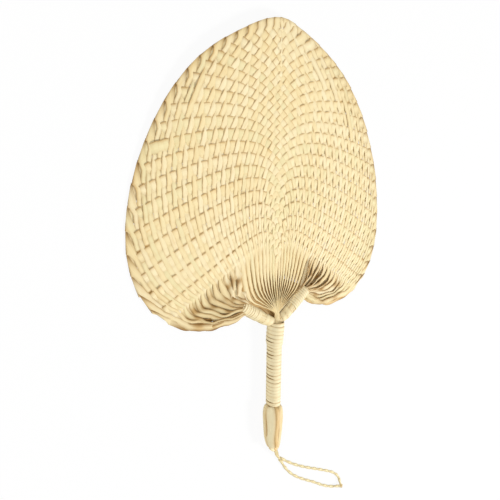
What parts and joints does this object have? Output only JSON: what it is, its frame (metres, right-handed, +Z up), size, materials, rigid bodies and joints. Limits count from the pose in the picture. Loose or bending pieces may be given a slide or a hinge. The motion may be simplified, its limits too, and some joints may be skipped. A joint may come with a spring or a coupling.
{
  "type": "woven hand fan",
  "caption": "Hand fan of crossed, dried leaf strips with a plaited edge, two bound shoulders, a wound handle, a folded butt and a hanging loop that swings.",
  "frame": {"origin": "under the middle of the fan without its loop, on the surface it lies on", "axes": "+Y along the handle towards the blade's tip, +X to the right seen from above, +Z up out of the domed face"},
  "size_m": [0.282, 0.4826, 0.0186],
  "materials": {
    "pale_leaf": "dry, satin leaf",
    "cream_leaf": "dry, satin leaf",
    "dry_leaf": "dry, satin leaf",
    "wound_leaf": "dry, satin leaf",
    "folded_leaf": "dry, satin leaf",
    "gathered_leaf": "dry, satin leaf",
    "twisted_leaf": "dry, satin leaf"
  },
  "bodies": {
    "fan": {"left_strip_01": "pale_leaf", "left_strip_02": "pale_leaf", "left_strip_03": "pale_leaf", "left_strip_04": "pale_leaf", "left_strip_05": "pale_leaf", "left_strip_06": "pale_leaf", "left_strip_07": "pale_leaf", "left_strip_08": "pale_leaf", "left_strip_09": "pale_leaf", "left_strip_10": "pale_leaf", "right_strip_01": "cream_leaf", "right_strip_02": "cream_leaf", "right_strip_03": "cream_leaf", "right_strip_04": "cream_leaf", "right_strip_05": "cream_leaf", "right_strip_06": "cream_leaf", "right_strip_07": "cream_leaf", "right_strip_08": "cream_leaf", "right_strip_09": "cream_leaf", "right_strip_10": "cream_leaf", "left_edge": "dry_leaf", "right_edge": "dry_leaf", "left_shoulder": "gathered_leaf", "left_shoulder_binding": "wound_leaf", "right_shoulder": "gathered_leaf", "right_shoulder_binding": "wound_leaf", "neck_pleats": "gathered_leaf", "handle_core": "gathered_leaf", "handle_winding": "wound_leaf", "butt_leaf_front_left": "folded_leaf", "butt_leaf_front": "folded_leaf", "butt_leaf_front_right": "folded_leaf", "butt_leaf_right": "folded_leaf", "butt_leaf_back": "folded_leaf", "butt_leaf_left": "folded_leaf"},
    "loop_root": {"loop_neck": "twisted_leaf"},
    "loop": {"loop_cord_upper": "twisted_leaf", "loop_cord_lower": "twisted_leaf", "loop_knot": "twisted_leaf"}
  },
  "joints": [
    {"name": "loop_swing", "type": "hinge", "parent": "fan", "child": "loop_root", "pos_m": [0, -0.1967, 0.00876], "axis": [0, 0, 1], "range_deg": [-123, 57]},
    {"name": "loop_lift", "type": "hinge", "parent": "loop_root", "child": "loop", "pos_m": [0.0125, -0.21605, 0.00195], "axis": [-0.6691, -0.7431, 0], "range_deg": [0, 90]}
  ]
}
